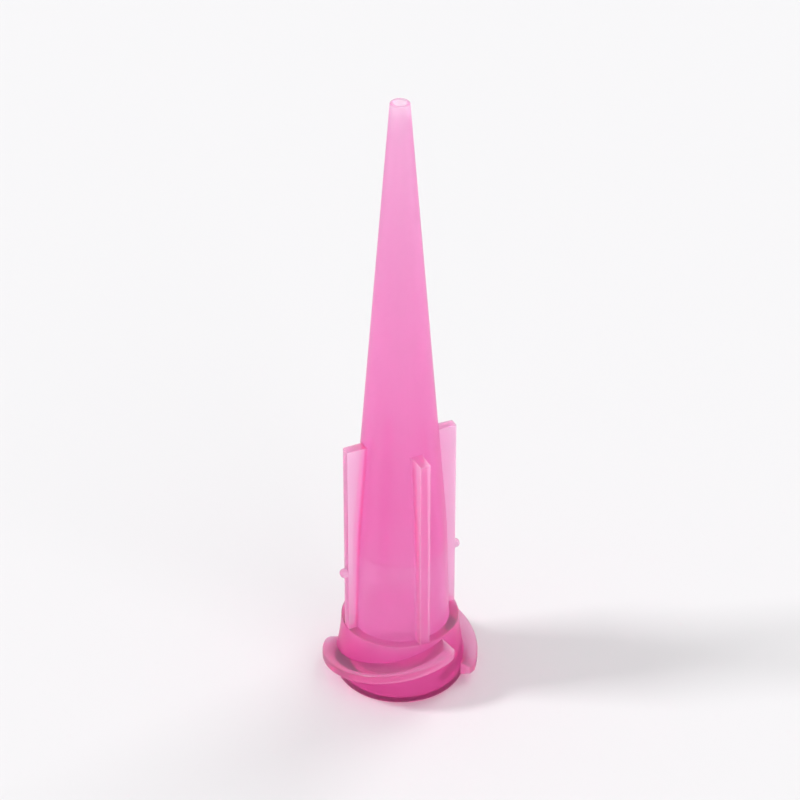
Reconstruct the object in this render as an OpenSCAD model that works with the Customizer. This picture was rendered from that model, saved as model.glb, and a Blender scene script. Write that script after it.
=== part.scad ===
// Dispensing needle tip: a rigid taper tip, moulded in one piece.
// It stands on the flat mouth of its hub, with the nozzle straight up.
// The origin is the middle of the mouth face and +Z runs to the nozzle end.
// Units are millimetres.

/* [Overall] */
// Length from the mouth face to the nozzle end
tip_len = 31.75; // [25:0.05:45]

/* [Nozzle] */
// Diameter of the outlet hole
outlet_d = 0.61; // [0.4:0.01:1.2]
// Wall at the nozzle end
nozzle_wall = 0.16; // [0.12:0.01:0.4]
// Length of the straight outlet hole
outlet_len = 1.5; // [0.5:0.1:4]

/* [Luer socket] */
// Diameter of the socket at the mouth
socket_d = 4.27; // [4.1:0.01:4.4]
// Taper of the socket, on the diameter
socket_taper = 0.06; // [0.04:0.005:0.08]
// Depth of the socket from the mouth
socket_depth = 7.5; // [6:0.1:9]
// Width of the ledge at the bottom of the socket
ledge_w = 0.16; // [0.05:0.01:0.4]
// Lead-in chamfer at the mouth of the socket
lead_in = 0.15; // [0.05:0.01:0.3]

/* [Body] */
// Wall round the socket
socket_wall = 0.42; // [0.35:0.01:0.8]
// How far the thick wall runs past the bottom of the socket
shoulder_len = 1.2; // [0.5:0.1:3]

/* [Hub] */
// Length of the hub, from the mouth face to the collar step
hub_len = 3.3; // [2.8:0.1:5]
// Diameter of the hub at the mouth, under the thread
hub_d = 6.45; // [6:0.05:6.7]
// Diameter of the hub at the collar step
collar_d = 5.85; // [5.5:0.05:6.2]
// Length of the straight part of the hub behind the mouth
hub_land = 1.0; // [0.5:0.1:2]
// Rounding of the outer edge of the mouth
mouth_round = 0.2; // [0.05:0.01:0.35]

/* [Lock thread] */
// Diameter over the thread
thread_d = 7.8; // [7.6:0.01:7.9]
// Advance of the thread in one full turn
thread_lead = 5; // [4:0.1:6]
// Number of thread starts
thread_starts = 2; // [1:1:2]
// Angle that each thread ridge covers
thread_sweep = 156; // [90:2:170]
// Width of the ridge at its foot
ridge_foot = 1.0; // [0.8:0.05:1.2]
// Width of the ridge at its crest
ridge_crest = 0.45; // [0.3:0.05:0.7]
// Gap between the mouth face and the first ridge flank
thread_offset = 0.05; // [0.02:0.01:0.3]
// Angle over which each end of a ridge is eased down
end_ease = 5; // [2:1:12]
// Height that the very end of a ridge keeps, as a share of the ridge
end_height = 0.78; // [0.5:0.01:0.95]

/* [Ribs] */
// Number of ribs along the body
rib_count = 4; // [2:1:8]
// Diameter over the ribs
rib_d = 5.8; // [5.4:0.05:6.2]
// Length of a rib from the collar step
rib_len = 10.5; // [6:0.1:16]
// Thickness of a rib at its outer edge
rib_crest = 0.5; // [0.3:0.01:0.8]
// Draft of each side of a rib, in degrees
rib_draft = 2; // [0:0.5:4]

/* [Hidden] */

pink = [0.91, 0.42, 0.66, 0.8];
turn_facets = 96;
thread_step = 4;
foot_sunk = 0.45;
over = 0.5;

// Radii that the passage and the body take from the sizes above
mouth_r = socket_d / 2;
bottom_r = mouth_r - socket_taper * socket_depth / 2;
throat_r = bottom_r - ledge_w;
outlet_r = outlet_d / 2;
nozzle_r = outlet_r + nozzle_wall;
shoulder_z = socket_depth + shoulder_len;

// Outer radius of the barrel round the socket: its wall is even all the way
function barrel_r(z) = mouth_r - socket_taper * z / 2 + socket_wall;

// Outer radius of the body at any height above the collar
function body_r(z) =
    z < shoulder_z
    ? barrel_r(z)
    : barrel_r(shoulder_z)
      + (nozzle_r - barrel_r(shoulder_z)) * (z - shoulder_z) / (tip_len - shoulder_z);

// Points along an arc, from angle a to angle b
function arc(cx, cy, r, a, b, n) =
    [for (i = [0:n]) [cx + r * cos(a + (b - a) * i / n), cy + r * sin(a + (b - a) * i / n)]];

// Outline of the hub behind its straight part: a hollow curve down to the collar
function flare_r(t) = collar_d / 2 + (hub_d - collar_d) / 2 * pow(1 - t, 1.6);

// Outside of the tip as a turned profile, open at the axis
module outside() {
    flare_n = 8;
    flare = [for (i = [1:flare_n])
        [flare_r(i / flare_n), hub_land + (hub_len - hub_land) * i / flare_n]];
    rotate_extrude($fn = turn_facets)
        polygon(concat(
            [[0, 0]],
            arc(hub_d / 2 - mouth_round, mouth_round, mouth_round, -90, 0, 4),
            [[hub_d / 2, hub_land]],
            flare,
            [[barrel_r(hub_len), hub_len]],
            [[barrel_r(shoulder_z), shoulder_z]],
            [[nozzle_r, tip_len], [0, tip_len]]));
}

// Luer socket, ledge, tapering passage and outlet, taken out of the tip
module passage() {
    rotate_extrude($fn = turn_facets)
        polygon([
            [0, -over],
            [mouth_r + lead_in + over, -over],
            [mouth_r + lead_in, 0],
            [mouth_r - socket_taper * lead_in / 2, lead_in],
            [bottom_r, socket_depth],
            [throat_r, socket_depth],
            [outlet_r, tip_len - outlet_len],
            [outlet_r, tip_len + over],
            [0, tip_len + over]]);
}

// One rib: a side outline that follows the body, thinned by draft to its outer edge
module rib() {
    top_z = hub_len + rib_len;
    sunk = socket_wall / 2;
    foot = rib_crest / 2 + (rib_d / 2) * tan(rib_draft);
    intersection() {
        rotate([90, 0, 0])
            linear_extrude(height = rib_d, center = true)
                polygon([
                    [body_r(hub_len) - sunk, hub_len - sunk],
                    [rib_d / 2, hub_len - sunk],
                    [rib_d / 2, top_z],
                    [body_r(top_z) - sunk, top_z],
                    [body_r(shoulder_z) - sunk, shoulder_z]]);
        linear_extrude(height = tip_len)
            polygon([
                [0, -foot], [rib_d / 2, -rib_crest / 2],
                [rib_d / 2, rib_crest / 2], [0, foot]]);
    }
}

// Cross-section of a ridge at an angle along it: four corners, foot sunk into the hub
function ridge_section(a) =
    let (
        z = thread_offset + ridge_foot / 2 + thread_lead * a / 360,
        full = min(1, a / end_ease, (thread_sweep - a) / end_ease),
        height = (thread_d - hub_d) / 2 * (end_height + (1 - end_height) * sqrt(full)),
        foot_r = hub_d / 2 - foot_sunk,
        crest_r = hub_d / 2 + height,
        foot = ridge_foot / 2,
        crest = ridge_crest / 2)
    [for (p = [[foot_r, -foot], [crest_r, -crest], [crest_r, crest], [foot_r, foot]])
        [p[0] * cos(a), p[0] * sin(a), z + p[1]]];

// One ridge of the lock thread, swept right-handed up from the mouth
module ridge() {
    n = ceil(thread_sweep / thread_step);
    rings = [for (i = [0:n]) ridge_section(thread_sweep * i / n)];
    polyhedron(
        points = [for (ring = rings) for (p = ring) p],
        faces = concat(
            [[3, 2, 1, 0]],
            [for (i = [0:n - 1]) for (j = [0:3])
                let (k = (j + 1) % 4)
                [4 * i + j, 4 * i + k, 4 * i + 4 + k, 4 * i + 4 + j]],
            [[4 * n, 4 * n + 1, 4 * n + 2, 4 * n + 3]]));
}

// The whole tip, one moulded solid
module taper_tip() {
    color(pink)
        difference() {
            union() {
                outside();
                for (i = [0:rib_count - 1]) rotate(45 + i * 360 / rib_count) rib();
                for (i = [0:thread_starts - 1]) rotate(i * 360 / thread_starts) ridge();
            }
            passage();
        }
}

taper_tip();
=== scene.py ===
"""Dispensing needle tip: a one-piece moulded taper tip, standing on the mouth of its hub.

The moulding is modelled in millimetres, in the part's own frame with +Z along the tip,
and scaled to metres when it is finished.
"""

import math

import bmesh
import bpy
from bpy.props import FloatProperty, FloatVectorProperty, IntProperty, PointerProperty
from mathutils import Matrix, Vector


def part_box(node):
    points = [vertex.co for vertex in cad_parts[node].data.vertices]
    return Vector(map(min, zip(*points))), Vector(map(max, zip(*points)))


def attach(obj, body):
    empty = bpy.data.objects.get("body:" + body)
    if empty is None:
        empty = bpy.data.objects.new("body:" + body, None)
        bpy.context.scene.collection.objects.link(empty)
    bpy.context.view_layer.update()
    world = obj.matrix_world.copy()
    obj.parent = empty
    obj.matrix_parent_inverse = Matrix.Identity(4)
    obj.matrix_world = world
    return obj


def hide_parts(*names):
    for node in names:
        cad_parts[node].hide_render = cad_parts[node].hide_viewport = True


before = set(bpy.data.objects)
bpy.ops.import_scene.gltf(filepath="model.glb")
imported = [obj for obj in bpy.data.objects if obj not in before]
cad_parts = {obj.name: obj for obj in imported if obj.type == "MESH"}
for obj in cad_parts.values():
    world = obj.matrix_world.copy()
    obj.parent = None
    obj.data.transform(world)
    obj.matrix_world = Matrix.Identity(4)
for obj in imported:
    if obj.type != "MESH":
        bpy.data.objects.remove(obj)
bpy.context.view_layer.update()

bl_info = {
    "name": "Dispensing Needle Tip",
    "version": (1, 0, 0),
    "blender": (4, 5, 0),
    "location": "3D View > Sidebar > Needle Tip",
    "description": "Builds a moulded taper tip with a lock-thread hub, and its stage",
    "category": "Add Mesh",
}

CAD_NODE = "taper_tip"
CAD_BODY = "root"
NODE_LOW, NODE_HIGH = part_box(CAD_NODE)

MM = 0.001

# Millimetres: points closer than this are welded, and how deep a ridge's foot is sunk
WELD = 0.002
RIDGE_SUNK = 0.45
# Points are sorted along this before welding, because a union gives them in any order
WELD_ORDER = Vector((0.382, 0.618, 1.0))

# Steps of the curves
MOUTH_STEPS = 4
FLARE_STEPS = 8
FILLET_STEPS = 4
PIP_STEPS = 24
RIDGE_STEP = math.radians(4.0)

# The flare of the hub: 1 would be a straight cone, and more is a deeper hollow
FLARE_POWER = 1.6
# Where the first rib stands, as an angle from the start of the first thread ridge
FIRST_RIB = math.tau / 8
# A pip's top, and the rounding of it, as shares of its radius at the foot
PIP_TOP = 0.85
PIP_ROUNDING = 0.6
# How many times wider than the other edges those of the thread ridges are rounded
RIDGE_ROUNDING = 1.4

# Angles over which an edge counts as sharp
TURNED_EDGE = math.radians(30.0)
RIB_EDGE = math.radians(60.0)
SHADED_EDGE = math.radians(35.0)

# The plastic: a pattern is finer at a higher scale, and the streaks run along the tip, where
# they paint paler highlight streaks into the tint and vary the roughness
STREAK_SCALE = (900.0, 900.0, 110.0)
GRAIN_SCALE = 6000.0
GRAIN_STRENGTH = 0.25
GRAIN_DEPTH = 0.01 * MM
SATIN_LOW, SATIN_HIGH = 0.09, 0.20
POLISHED = 0.08
REFRACTION = 1.46
HAZE_SHARE = 0.48
DEPTH_DENSITY = 860.0

# The stage, with its distances in lengths of the tip
FLOOR_RADIUS = 14
FLOOR_STEPS = 128
FLOOR_ROUGHNESS = 0.65
LAMP_REACH = 24
CAMERA_DISTANCE = 4.5
CAMERA_ELEVATION = math.radians(33.0)
CAMERA_AZIMUTH = math.radians(20.0)
CAMERA_LENS = 135.0
CAMERA_CLIP = 0.001
SURROUND_LEVEL = 0.60

# Each lamp's name, place and size in reaches, and its share of the light level
LAMPS = (
    ("key_lamp", (-0.8, -0.35, 0.9), 0.25, 0.50),
    ("fill_lamp", (0.9, -0.6, 0.5), 0.9, 0.26),
    ("rim_lamp", (0.3, 0.9, 0.8), 0.7, 0.32),
)


class NEEDLETIP_PG_sizes(bpy.types.PropertyGroup):
    """Sizes of the moulding"""

    tip_len: FloatProperty(
        name="Tip length", description="From the mouth face to the nozzle end",
        default=NODE_HIGH.z - NODE_LOW.z, unit="LENGTH", precision=5)
    outlet_d: FloatProperty(
        name="Outlet", description="Diameter of the outlet hole",
        default=0.61 * MM, unit="LENGTH", precision=5)
    outlet_len: FloatProperty(
        name="Outlet length", description="Length of the straight outlet hole",
        default=1.5 * MM, unit="LENGTH", precision=5)
    nozzle_wall: FloatProperty(
        name="Nozzle wall", description="Wall at the nozzle end",
        default=0.16 * MM, unit="LENGTH", precision=5)
    socket_d: FloatProperty(
        name="Socket mouth", description="Diameter of the tapered socket at the mouth",
        default=4.27 * MM, unit="LENGTH", precision=5)
    socket_taper: FloatProperty(
        name="Socket taper", description="Taper of the socket, on the diameter",
        default=0.06, subtype="FACTOR", min=0.0, max=0.2)
    socket_depth: FloatProperty(
        name="Socket depth", description="From the mouth face to the ledge",
        default=7.5 * MM, unit="LENGTH", precision=5)
    socket_wall: FloatProperty(
        name="Socket wall", description="Wall of the barrel round the socket",
        default=0.42 * MM, unit="LENGTH", precision=5)
    ledge_w: FloatProperty(
        name="Ledge", description="Width of the ledge at the bottom of the socket",
        default=0.16 * MM, unit="LENGTH", precision=5)
    lead_in: FloatProperty(
        name="Lead-in", description="Chamfer at the mouth of the socket",
        default=0.15 * MM, unit="LENGTH", precision=5)
    shoulder_len: FloatProperty(
        name="Shoulder", description="Barrel beyond the bottom of the socket",
        default=1.2 * MM, unit="LENGTH", precision=5)
    hub_len: FloatProperty(
        name="Hub length", description="From the mouth face to the collar step",
        default=3.3 * MM, unit="LENGTH", precision=5)
    hub_d: FloatProperty(
        name="Hub diameter", description="At the mouth, under the thread",
        default=6.45 * MM, unit="LENGTH", precision=5)
    hub_land: FloatProperty(
        name="Hub land", description="Straight part of the hub behind the mouth",
        default=1.0 * MM, unit="LENGTH", precision=5)
    collar_d: FloatProperty(
        name="Collar diameter", description="Diameter of the hub at the collar step",
        default=5.85 * MM, unit="LENGTH", precision=5)
    mouth_round: FloatProperty(
        name="Mouth rounding", description="Rounding of the outer edge of the mouth",
        default=0.2 * MM, unit="LENGTH", precision=5)
    edge_round: FloatProperty(
        name="Edge rounding", description="Width of the softened edges",
        default=0.05 * MM, unit="LENGTH", precision=5)
    round_steps: IntProperty(
        name="Steps round", description="Steps of the turned surfaces in a full turn",
        default=120, min=24, max=240)


class NEEDLETIP_PG_thread(bpy.types.PropertyGroup):
    """Sizes of the lock thread"""

    thread_d: FloatProperty(
        name="Thread diameter", description="Over the ridges",
        default=7.8 * MM, unit="LENGTH", precision=5)
    lead: FloatProperty(
        name="Lead", description="Advance of the thread in a full turn",
        default=5.0 * MM, unit="LENGTH", precision=5)
    starts: IntProperty(name="Starts", description="Number of ridges", default=2, min=1, max=2)
    sweep: FloatProperty(
        name="Sweep", description="Angle that each ridge covers",
        default=math.radians(156.0), subtype="ANGLE", unit="ROTATION")
    foot_w: FloatProperty(
        name="Foot width", description="Width of a ridge at its foot",
        default=1.0 * MM, unit="LENGTH", precision=5)
    crest_w: FloatProperty(
        name="Crest width", description="Width of a ridge at its crest",
        default=0.45 * MM, unit="LENGTH", precision=5)
    offset: FloatProperty(
        name="Offset", description="Gap between the mouth face and the first flank",
        default=0.05 * MM, unit="LENGTH", precision=5)
    end_ease: FloatProperty(
        name="End ease", description="Angle over which each end is eased down",
        default=math.radians(5.0), subtype="ANGLE", unit="ROTATION")
    end_height: FloatProperty(
        name="End height", description="Share of its height that the very end keeps",
        default=0.78, subtype="FACTOR", min=0.0, max=1.0)


class NEEDLETIP_PG_ribs(bpy.types.PropertyGroup):
    """Sizes of the ribs"""

    count: IntProperty(name="Ribs", description="Number of ribs", default=4, min=2, max=8)
    over_d: FloatProperty(
        name="Diameter over ribs", description="Across two opposite ribs",
        default=5.8 * MM, unit="LENGTH", precision=5)
    length: FloatProperty(
        name="Rib length", description="From the collar step to the free end",
        default=10.5 * MM, unit="LENGTH", precision=5)
    crest_w: FloatProperty(
        name="Rib thickness", description="Thickness at the outer edge",
        default=0.5 * MM, unit="LENGTH", precision=5)
    draft: FloatProperty(
        name="Draft", description="Draft of each side",
        default=math.radians(2.0), subtype="ANGLE", unit="ROTATION")
    fillet: FloatProperty(
        name="Foot fillet", description="Radius where a rib runs into the body",
        default=0.12 * MM, unit="LENGTH", precision=5)
    pips: IntProperty(
        name="Pips", description="Number of ribs that carry a pip", default=2, min=1, max=8)
    pip_d: FloatProperty(
        name="Pip diameter", description="Diameter of a pip at its foot",
        default=0.5 * MM, unit="LENGTH", precision=5)
    pip_height: FloatProperty(
        name="Pip height", description="How far a pip stands out of the rib",
        default=0.32 * MM, unit="LENGTH", precision=5)
    pip_place: FloatProperty(
        name="Pip place", description="From the collar step to the middle of a pip",
        default=3.3 * MM, unit="LENGTH", precision=5)


class NEEDLETIP_PG_colours(bpy.types.PropertyGroup):
    """Colours of the plastic and the stage"""

    plastic: FloatVectorProperty(
        name="Plastic", description="Tint of the polyethylene at its surface",
        subtype="COLOR", size=3, min=0.0, max=1.0, default=(0.985, 0.87, 0.935))
    # Paler tint painted into the streaks along the tip: painted highlight streaks
    highlight_streak_tint: FloatVectorProperty(
        name="Milky streaks", description="Paler tint of the flow streaks",
        subtype="COLOR", size=3, min=0.0, max=1.0, default=(0.995, 0.99, 0.99))
    depth_tint: FloatVectorProperty(
        name="Depth tint", description="What the plastic lets through in depth",
        subtype="COLOR", size=3, min=0.0, max=1.0, default=(0.985, 0.05, 0.68))
    haze: FloatVectorProperty(
        name="Haze", description="Tint of the light that scatters inside the plastic",
        subtype="COLOR", size=3, min=0.0, max=1.0, default=(0.99, 0.89, 0.95))
    floor: FloatVectorProperty(
        name="Floor", description="Colour of the floor",
        subtype="COLOR", size=3, min=0.0, max=1.0, default=(0.76, 0.755, 0.765))
    backdrop: FloatVectorProperty(
        name="Backdrop", description="Colour beyond the floor",
        subtype="COLOR", size=3, min=0.0, max=1.0, default=(0.93, 0.925, 0.935))


def millimetres(value):
    """A stored length, which is in metres, as millimetres."""
    return value / MM


def barrel_radius(sizes, z):
    """Outer radius of the barrel, which keeps an even wall round the tapered socket."""
    mouth_r = millimetres(sizes.socket_d) / 2
    return mouth_r - sizes.socket_taper * z / 2 + millimetres(sizes.socket_wall)


def body_radius(sizes, z):
    """Outer radius of the body at any height above the collar."""
    shoulder_z = millimetres(sizes.socket_depth + sizes.shoulder_len)
    if z < shoulder_z:
        return barrel_radius(sizes, z)
    shoulder_r = barrel_radius(sizes, shoulder_z)
    nozzle_r = millimetres(sizes.outlet_d / 2 + sizes.nozzle_wall)
    share = (z - shoulder_z) / (millimetres(sizes.tip_len) - shoulder_z)
    return shoulder_r + (nozzle_r - shoulder_r) * share


def outside_outline(sizes):
    """Radius and height of each point of the outside, from the mouth to the nozzle end."""
    hub_r = millimetres(sizes.hub_d) / 2
    collar_r = millimetres(sizes.collar_d) / 2
    hub_land = millimetres(sizes.hub_land)
    hub_len = millimetres(sizes.hub_len)
    rounding = millimetres(sizes.mouth_round)
    shoulder_z = millimetres(sizes.socket_depth + sizes.shoulder_len)
    points = []
    for i in range(MOUTH_STEPS + 1):
        angle = math.pi / 2 * i / MOUTH_STEPS
        points.append((hub_r - rounding + rounding * math.sin(angle),
                       rounding - rounding * math.cos(angle)))
    points.append((hub_r, hub_land))
    for i in range(1, FLARE_STEPS + 1):
        share = i / FLARE_STEPS
        points.append((collar_r + (hub_r - collar_r) * (1 - share) ** FLARE_POWER,
                       hub_land + (hub_len - hub_land) * share))
    points.append((body_radius(sizes, hub_len), hub_len))
    points.append((body_radius(sizes, shoulder_z), shoulder_z))
    points.append((body_radius(sizes, millimetres(sizes.tip_len)), millimetres(sizes.tip_len)))
    return points


def passage_outline(sizes):
    """Radius and height of each point of the passage, from the nozzle end to the mouth."""
    mouth_r = millimetres(sizes.socket_d) / 2
    depth = millimetres(sizes.socket_depth)
    bottom_r = mouth_r - sizes.socket_taper * depth / 2
    lead_in = millimetres(sizes.lead_in)
    outlet_r = millimetres(sizes.outlet_d) / 2
    top = millimetres(sizes.tip_len)
    return [
        (outlet_r, top),
        (outlet_r, top - millimetres(sizes.outlet_len)),
        (bottom_r - millimetres(sizes.ledge_w), depth),
        (bottom_r, depth),
        (mouth_r - sizes.socket_taper * lead_in / 2, lead_in),
        (mouth_r + lead_in, 0.0),
    ]


def soften(bm, edges, width, segments):
    """Round the given edges off."""
    bmesh.ops.bevel(
        bm, geom=edges, offset=width, offset_type="OFFSET", segments=segments,
        profile=0.5, affect="EDGES", clamp_overlap=True, material=-1)


def sharp_edges(bm, angle):
    """Edges where two faces meet at more than the angle."""
    return [e for e in bm.edges if len(e.link_faces) == 2 and e.calc_face_angle() > angle]


def turned_body(sizes):
    """The moulding without its ribs and thread, turned from one closed outline."""
    bm = bmesh.new()
    outline = outside_outline(sizes) + passage_outline(sizes)
    verts = [bm.verts.new((r, 0.0, z)) for r, z in outline]
    edges = [bm.edges.new((a, b)) for a, b in zip(verts, verts[1:] + verts[:1])]
    bmesh.ops.spin(
        bm, geom=verts + edges, cent=(0, 0, 0), axis=(0, 0, 1), dvec=(0, 0, 0),
        angle=math.tau, steps=sizes.round_steps, use_merge=True)
    bmesh.ops.remove_doubles(bm, verts=bm.verts, dist=WELD)
    bmesh.ops.recalc_face_normals(bm, faces=bm.faces)
    soften(bm, sharp_edges(bm, TURNED_EDGE), millimetres(sizes.edge_round), segments=3)
    return bm


def rib_section(sizes, ribs, z):
    """Corners of a rib's cross-section at one height, from one foot round to the other."""
    body_r = body_radius(sizes, z)
    outer = millimetres(ribs.over_d) / 2
    fillet = millimetres(ribs.fillet)
    crest = millimetres(ribs.crest_w) / 2
    sunk = millimetres(sizes.socket_wall) / 2
    side = crest + (outer - body_r - fillet) * math.tan(ribs.draft)
    foot_x = math.sqrt(body_r ** 2 - (side + fillet) ** 2)
    half = [(foot_x - sunk, side + fillet)]
    for i in range(FILLET_STEPS + 1):
        angle = math.pi / 2 * i / FILLET_STEPS
        half.append((
            foot_x + (body_r + fillet - foot_x) * (1 - math.cos(angle)),
            side + fillet * (1 - math.sin(angle))))
    half.append((outer, crest))
    return [(x, -y) for x, y in half] + [(x, y) for x, y in reversed(half)]


def rib_solid(sizes, ribs):
    """One rib lying along +X: its sections bridged up the body, then its free edges rounded."""
    low = millimetres(sizes.hub_len) - millimetres(sizes.socket_wall) / 2
    shoulder_z = millimetres(sizes.socket_depth + sizes.shoulder_len)
    high = millimetres(sizes.hub_len + ribs.length)
    bm = bmesh.new()
    rings = []
    for z in (low, shoulder_z, high):
        verts = [bm.verts.new((x, y, z)) for x, y in rib_section(sizes, ribs, z)]
        rings.append([bm.edges.new(pair) for pair in zip(verts, verts[1:] + verts[:1])])
    for lower, upper in zip(rings, rings[1:]):
        bmesh.ops.bridge_loops(bm, edges=lower + upper)
    for ring in (rings[0], rings[-1]):
        bmesh.ops.contextual_create(bm, geom=ring)
    bmesh.ops.recalc_face_normals(bm, faces=bm.faces)
    outer = millimetres(ribs.over_d) / 2
    free = [
        e for e in sharp_edges(bm, RIB_EDGE)
        if all(v.co.x > outer - WELD for v in e.verts)
        or all(v.co.z > high - WELD and v.co.x > body_radius(sizes, high) for v in e.verts)]
    soften(bm, free, millimetres(sizes.edge_round), segments=2)
    return bm


def pip_solid(sizes, ribs):
    """The small pip on a rib's crest, with its foot sunk into the rib and its top rounded."""
    height = millimetres(ribs.pip_height)
    radius = millimetres(ribs.pip_d) / 2
    sunk = millimetres(sizes.edge_round) * 2
    bm = bmesh.new()
    bmesh.ops.create_cone(
        bm, cap_ends=True, segments=PIP_STEPS, radius1=radius, radius2=radius * PIP_TOP,
        depth=height + sunk)
    rim = [e for e in bm.edges if all(v.co.z > 0 for v in e.verts)]
    soften(bm, rim, radius * PIP_ROUNDING, segments=5)
    middle = millimetres(ribs.over_d) / 2 + (height - sunk) / 2
    place = Vector((middle, 0.0, millimetres(sizes.hub_len + ribs.pip_place)))
    outward = Matrix.Rotation(math.radians(90.0), 4, "Y")
    bmesh.ops.transform(bm, matrix=Matrix.Translation(place) @ outward, verts=bm.verts)
    return bm


def ease_ends(bm, hub_r, crest_r, thread):
    """Lower a ridge's crest a little over the last few degrees of each end."""
    for vert in bm.verts:
        radius = math.hypot(vert.co.x, vert.co.y)
        if radius < hub_r:
            continue
        turn = math.atan2(vert.co.y, vert.co.x) % math.tau
        full = max(0.0, min(1.0, min(turn, thread.sweep - turn) / thread.end_ease))
        share = thread.end_height + (1 - thread.end_height) * math.sqrt(full)
        wanted = hub_r + (crest_r - hub_r) * share
        vert.co.x *= wanted / radius
        vert.co.y *= wanted / radius


def ridge_solid(sizes, thread):
    """One ridge of the lock thread, its section spun round and up the hub."""
    hub_r = millimetres(sizes.hub_d) / 2
    crest_r = millimetres(thread.thread_d) / 2
    foot_r = hub_r - RIDGE_SUNK
    foot = millimetres(thread.foot_w) / 2
    crest = millimetres(thread.crest_w) / 2
    start_z = millimetres(thread.offset) + foot
    rise = millimetres(thread.lead) * thread.sweep / math.tau
    steps = round(thread.sweep / RIDGE_STEP)
    bm = bmesh.new()
    corners = [(foot_r, -foot), (crest_r, -crest), (crest_r, crest), (foot_r, foot)]
    verts = [bm.verts.new((r, 0.0, start_z + z)) for r, z in corners]
    start = bm.faces.new(verts)
    bmesh.ops.spin(
        bm, geom=verts + list(start.edges) + [start], cent=(0, 0, 0), axis=(0, 0, 1),
        dvec=(0, 0, rise / steps), angle=thread.sweep, steps=steps, use_merge=False)
    bmesh.ops.recalc_face_normals(bm, faces=bm.faces)
    ease_ends(bm, hub_r, crest_r, thread)
    free = [
        e for e in sharp_edges(bm, TURNED_EDGE)
        if any(math.hypot(v.co.x, v.co.y) > hub_r for v in e.verts)]
    soften(bm, free, millimetres(sizes.edge_round) * RIDGE_ROUNDING, segments=3)
    return bm


def turned_copies(bm, count, first_angle):
    """Copies of a solid spaced evenly round the axis, in one mesh."""
    copies = bmesh.new()
    mesh = bpy.data.meshes.new("copies")
    for i in range(count):
        turned = bm.copy()
        turn = Matrix.Rotation(first_angle + math.tau * i / count, 4, "Z")
        bmesh.ops.transform(turned, matrix=turn, verts=turned.verts)
        turned.to_mesh(mesh)
        turned.free()
        copies.from_mesh(mesh)
    copies.to_mesh(mesh)
    copies.free()
    bm.free()
    return mesh


def object_from(name, data):
    """A new object in the scene, at the origin."""
    obj = bpy.data.objects.new(name, data)
    bpy.context.scene.collection.objects.link(obj)
    return obj


def united(base_mesh, added_meshes):
    """One closed mesh of the body with everything that stands on it."""
    base = object_from("union_base", base_mesh)
    helpers = [object_from("union_part", mesh) for mesh in added_meshes]
    for helper in helpers:
        union = base.modifiers.new("Union", "BOOLEAN")
        union.operation = "UNION"
        union.solver = "EXACT"
        union.object = helper
    depsgraph = bpy.context.evaluated_depsgraph_get()
    result = bpy.data.meshes.new_from_object(base.evaluated_get(depsgraph))
    for obj in [base] + helpers:
        mesh = obj.data
        bpy.data.objects.remove(obj)
        bpy.data.meshes.remove(mesh)
    return result


def moulded_mesh(sizes, thread, ribs):
    """The whole moulding as one closed mesh, in millimetres."""
    body = bpy.data.meshes.new("body")
    turned = turned_body(sizes)
    turned.to_mesh(body)
    turned.free()
    return united(body, [
        turned_copies(rib_solid(sizes, ribs), ribs.count, FIRST_RIB),
        turned_copies(pip_solid(sizes, ribs), ribs.pips, FIRST_RIB),
        turned_copies(ridge_solid(sizes, thread), thread.starts, 0.0),
    ])


def mark_core_side(bm, sizes):
    """Mark each point 1 on the passage, which a polished core pin moulds, and 0 elsewhere."""
    layer = bm.verts.layers.float.new("core_side")
    wall = millimetres(sizes.nozzle_wall) / 2
    for vert in bm.verts:
        radius = math.hypot(vert.co.x, vert.co.y)
        outer = body_radius(sizes, max(vert.co.z, millimetres(sizes.hub_len)))
        inside = radius < outer - wall and vert.co.z > WELD
        vert[layer] = 1.0 if inside else 0.0


def finish_mesh(mesh, sizes):
    """Weld what the union leaves, mark the core side and the sharp edges, and go to metres."""
    bm = bmesh.new()
    bm.from_mesh(mesh)
    bm.verts.sort(key=lambda vert: vert.co.dot(WELD_ORDER))
    bmesh.ops.remove_doubles(bm, verts=bm.verts, dist=WELD)
    bmesh.ops.dissolve_degenerate(bm, edges=bm.edges, dist=WELD)
    mark_core_side(bm, sizes)
    for face in bm.faces:
        face.smooth = True
    for edge in bm.edges:
        edge.smooth = len(edge.link_faces) == 2 and edge.calc_face_angle() < SHADED_EDGE
    bmesh.ops.scale(bm, vec=(MM, MM, MM), verts=bm.verts)
    bm.to_mesh(mesh)
    bm.free()


def new_node(nodes, kind, **inputs):
    """A shader node with its plain inputs set."""
    node = nodes.new(kind)
    for name, value in inputs.items():
        node.inputs[name].default_value = value
    return node


def highlight_and_flow_streaks(nodes, links, place):
    """A pattern of streaks along the tip: painted highlight streaks in the tint, and flow lines
    in the roughness.
    """
    along = new_node(nodes, "ShaderNodeMapping", Scale=STREAK_SCALE)
    links.new(place, along.inputs["Vector"])
    streaks = new_node(nodes, "ShaderNodeTexNoise", Scale=1.0, Detail=3.0, Roughness=0.55)
    links.new(along.outputs["Vector"], streaks.inputs["Vector"])
    return streaks.outputs["Fac"]


def tint_with_painted_highlights(nodes, links, streaks, colours):
    """The plastic's tint, paler in the streaks, which paint in highlight streaks."""
    tint = nodes.new("ShaderNodeMix")
    tint.data_type = "RGBA"
    tint.inputs["A"].default_value = (*colours.plastic, 1.0)
    tint.inputs["B"].default_value = (*colours.highlight_streak_tint, 1.0)
    links.new(streaks, tint.inputs["Factor"])
    return tint.outputs["Result"]


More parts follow.
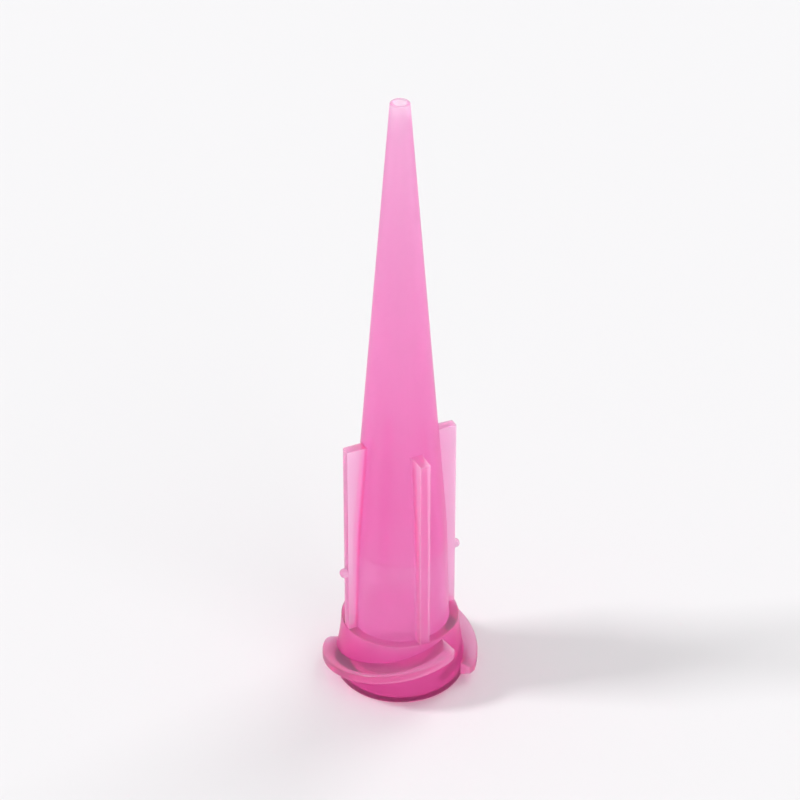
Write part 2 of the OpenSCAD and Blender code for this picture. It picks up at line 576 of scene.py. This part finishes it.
def two_finishes(nodes, links, streaks):
    """Roughness: satin outside, varied by the streaks, and polished on the core side."""
    satin = nodes.new("ShaderNodeMapRange")
    satin.inputs["To Min"].default_value = SATIN_LOW
    satin.inputs["To Max"].default_value = SATIN_HIGH
    links.new(streaks, satin.inputs["Value"])
    core_side = nodes.new("ShaderNodeAttribute")
    core_side.attribute_name = "core_side"
    finish = nodes.new("ShaderNodeMix")
    finish.data_type = "FLOAT"
    finish.inputs["B"].default_value = POLISHED
    links.new(core_side.outputs["Fac"], finish.inputs["Factor"])
    links.new(satin.outputs["Result"], finish.inputs["A"])
    return finish.outputs["Result"]


def fine_grain(nodes, links, place):
    """The normal of a surface with a very fine grain."""
    grain = new_node(nodes, "ShaderNodeTexNoise", Scale=GRAIN_SCALE, Detail=2.0)
    links.new(place, grain.inputs["Vector"])
    bump = new_node(nodes, "ShaderNodeBump", Strength=GRAIN_STRENGTH, Distance=GRAIN_DEPTH)
    links.new(grain.outputs["Fac"], bump.inputs["Height"])
    return bump.outputs["Normal"]


def polyethylene(colours):
    """Soft translucent polyethylene: clear plastic tinted in depth, mixed with haze."""
    material = bpy.data.materials.new("hazy_polyethylene")
    material.use_nodes = True
    nodes, links = material.node_tree.nodes, material.node_tree.links
    clear, output = nodes["Principled BSDF"], nodes["Material Output"]
    place = nodes.new("ShaderNodeTexCoord").outputs["Object"]
    streaks = highlight_and_flow_streaks(nodes, links, place)
    grain = fine_grain(nodes, links, place)

    clear.inputs["IOR"].default_value = REFRACTION
    clear.inputs["Transmission Weight"].default_value = 1.0
    # The tint is paler in the streaks: painted highlight streaks along the tip
    links.new(tint_with_painted_highlights(nodes, links, streaks, colours), clear.inputs["Base Color"])
    links.new(two_finishes(nodes, links, streaks), clear.inputs["Roughness"])
    links.new(grain, clear.inputs["Normal"])

    haze = new_node(nodes, "ShaderNodeBsdfTranslucent", Color=(*colours.haze, 1.0))
    links.new(grain, haze.inputs["Normal"])
    blend = new_node(nodes, "ShaderNodeMixShader", Fac=HAZE_SHARE)
    links.new(clear.outputs["BSDF"], blend.inputs[1])
    links.new(haze.outputs["BSDF"], blend.inputs[2])
    links.new(blend.outputs["Shader"], output.inputs["Surface"])

    absorption = new_node(
        nodes, "ShaderNodeVolumeAbsorption",
        Color=(*colours.depth_tint, 1.0), Density=DEPTH_DENSITY)
    links.new(absorption.outputs["Volume"], output.inputs["Volume"])
    return material


class NEEDLETIP_OT_moulding(bpy.types.Operator):
    """Build the one-piece moulding: body, ribs, pips and lock thread"""

    bl_idname = "needletip.moulding"
    bl_label = "Moulding"

    def execute(self, context):
        scene = context.scene
        sizes = scene.needletip_sizes
        mesh = moulded_mesh(sizes, scene.needletip_thread, scene.needletip_ribs)
        finish_mesh(mesh, sizes)
        mesh.materials.append(polyethylene(scene.needletip_colours))
        piece = object_from("taper_tip_moulding", mesh)
        shading = piece.modifiers.new("Even shading", "WEIGHTED_NORMAL")
        shading.keep_sharp = True
        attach(piece, CAD_BODY)
        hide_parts(CAD_NODE)
        return {"FINISHED"}


def stage_floor(colour, radius):
    """A round matt floor at the height of the mouth face."""
    material = bpy.data.materials.new("floor")
    material.use_nodes = True
    shader = material.node_tree.nodes["Principled BSDF"]
    shader.inputs["Base Color"].default_value = (*colour, 1.0)
    shader.inputs["Roughness"].default_value = FLOOR_ROUGHNESS
    bm = bmesh.new()
    bmesh.ops.create_circle(bm, cap_ends=True, segments=FLOOR_STEPS, radius=radius)
    mesh = bpy.data.meshes.new("floor")
    bm.to_mesh(mesh)
    bm.free()
    mesh.materials.append(material)
    return object_from("floor", mesh)


def softbox(name, place, target, size, share):
    """A square lamp that gives its share of the light level on a surface facing it."""
    lamp = bpy.data.lights.new(name, "AREA")
    lamp.shape = "SQUARE"
    lamp.size = size
    beam = Vector(target) - Vector(place)
    lamp.energy = share * math.pi ** 2 * beam.length ** 2
    obj = object_from(name, lamp)
    obj.location = place
    obj.rotation_euler = beam.to_track_quat("-Z", "Y").to_euler()


def backdrop_world(colour, level):
    """An even surround: pale where it is seen, and at the lamps' level where it lights."""
    world = bpy.data.worlds.new("backdrop")
    bpy.context.scene.world = world
    world.use_nodes = True
    nodes, links = world.node_tree.nodes, world.node_tree.links
    nodes.clear()
    output = nodes.new("ShaderNodeOutputWorld")
    seen = new_node(nodes, "ShaderNodeBackground", Color=(*colour, 1.0), Strength=1.0)
    light = new_node(nodes, "ShaderNodeBackground", Color=(1.0, 1.0, 1.0, 1.0), Strength=level)
    path = nodes.new("ShaderNodeLightPath")
    is_seen = path.outputs["Is Camera Ray"]
    for ray in ("Is Glossy Ray", "Is Transmission Ray"):
        either = nodes.new("ShaderNodeMath")
        either.operation = "MAXIMUM"
        links.new(is_seen, either.inputs[0])
        links.new(path.outputs[ray], either.inputs[1])
        is_seen = either.outputs["Value"]
    mix = nodes.new("ShaderNodeMixShader")
    links.new(is_seen, mix.inputs["Fac"])
    links.new(light.outputs["Background"], mix.inputs[1])
    links.new(seen.outputs["Background"], mix.inputs[2])
    links.new(mix.outputs["Shader"], output.inputs["Surface"])


def stage_camera(target, distance):
    """A camera on the target, from above and a little to the right."""
    back = Vector((
        math.sin(CAMERA_AZIMUTH) * math.cos(CAMERA_ELEVATION),
        -math.cos(CAMERA_AZIMUTH) * math.cos(CAMERA_ELEVATION),
        math.sin(CAMERA_ELEVATION)))
    camera = bpy.data.cameras.new("camera")
    camera.lens = CAMERA_LENS
    camera.clip_start = CAMERA_CLIP
    obj = object_from("camera", camera)
    obj.location = target + back * distance
    obj.rotation_euler = (-back).to_track_quat("-Z", "Y").to_euler()
    return obj


class NEEDLETIP_OT_stage(bpy.types.Operator):
    """Build the floor, the lamps, the backdrop and the camera"""

    bl_idname = "needletip.stage"
    bl_label = "Stage"

    def execute(self, context):
        scene = context.scene
        colours = scene.needletip_colours
        height = scene.needletip_sizes.tip_len
        middle = Vector((0.0, 0.0, height / 2))

        floor = stage_floor(colours.floor, height * FLOOR_RADIUS)
        reach = height * LAMP_REACH
        for name, direction, size, share in LAMPS:
            place = tuple(reach * part for part in direction)
            softbox(name, place, middle, reach * size, share)
        backdrop_world(colours.backdrop, SURROUND_LEVEL)
        scene.camera = stage_camera(middle, height * CAMERA_DISTANCE)
        scene.view_settings.view_transform = "Standard"
        return {"FINISHED"}


class NEEDLETIP_PT_panel(bpy.types.Panel):
    """Sidebar panel with the sizes, the colours and the builders"""

    bl_idname = "NEEDLETIP_PT_panel"
    bl_label = "Dispensing Needle Tip"
    bl_space_type = "VIEW_3D"
    bl_region_type = "UI"
    bl_category = "Needle Tip"

    def draw(self, context):
        layout = self.layout
        scene = context.scene
        groups = (
            ("Moulding", scene.needletip_sizes),
            ("Lock thread", scene.needletip_thread),
            ("Ribs", scene.needletip_ribs),
            ("Colours", scene.needletip_colours),
        )
        for title, group in groups:
            box = layout.box()
            box.label(text=title)
            for name in group.bl_rna.properties.keys():
                if name not in ("rna_type", "name"):
                    box.prop(group, name)
        layout.operator("needletip.moulding")
        layout.operator("needletip.stage")


CLASSES = (
    NEEDLETIP_PG_sizes,
    NEEDLETIP_PG_thread,
    NEEDLETIP_PG_ribs,
    NEEDLETIP_PG_colours,
    NEEDLETIP_OT_moulding,
    NEEDLETIP_OT_stage,
    NEEDLETIP_PT_panel,
)


def register():
    """Register the classes and hang their settings on the scene."""
    for cls in CLASSES:
        bpy.utils.register_class(cls)
    bpy.types.Scene.needletip_sizes = PointerProperty(type=NEEDLETIP_PG_sizes)
    bpy.types.Scene.needletip_thread = PointerProperty(type=NEEDLETIP_PG_thread)
    bpy.types.Scene.needletip_ribs = PointerProperty(type=NEEDLETIP_PG_ribs)
    bpy.types.Scene.needletip_colours = PointerProperty(type=NEEDLETIP_PG_colours)


def unregister():
    """Take the settings and the classes away again."""
    del bpy.types.Scene.needletip_colours
    del bpy.types.Scene.needletip_ribs
    del bpy.types.Scene.needletip_thread
    del bpy.types.Scene.needletip_sizes
    for cls in reversed(CLASSES):
        bpy.utils.unregister_class(cls)


def main():
    """Register, and build the piece and the stage."""
    register()
    bpy.ops.needletip.moulding()
    bpy.ops.needletip.stage()


if __name__ == "__main__":
    main()
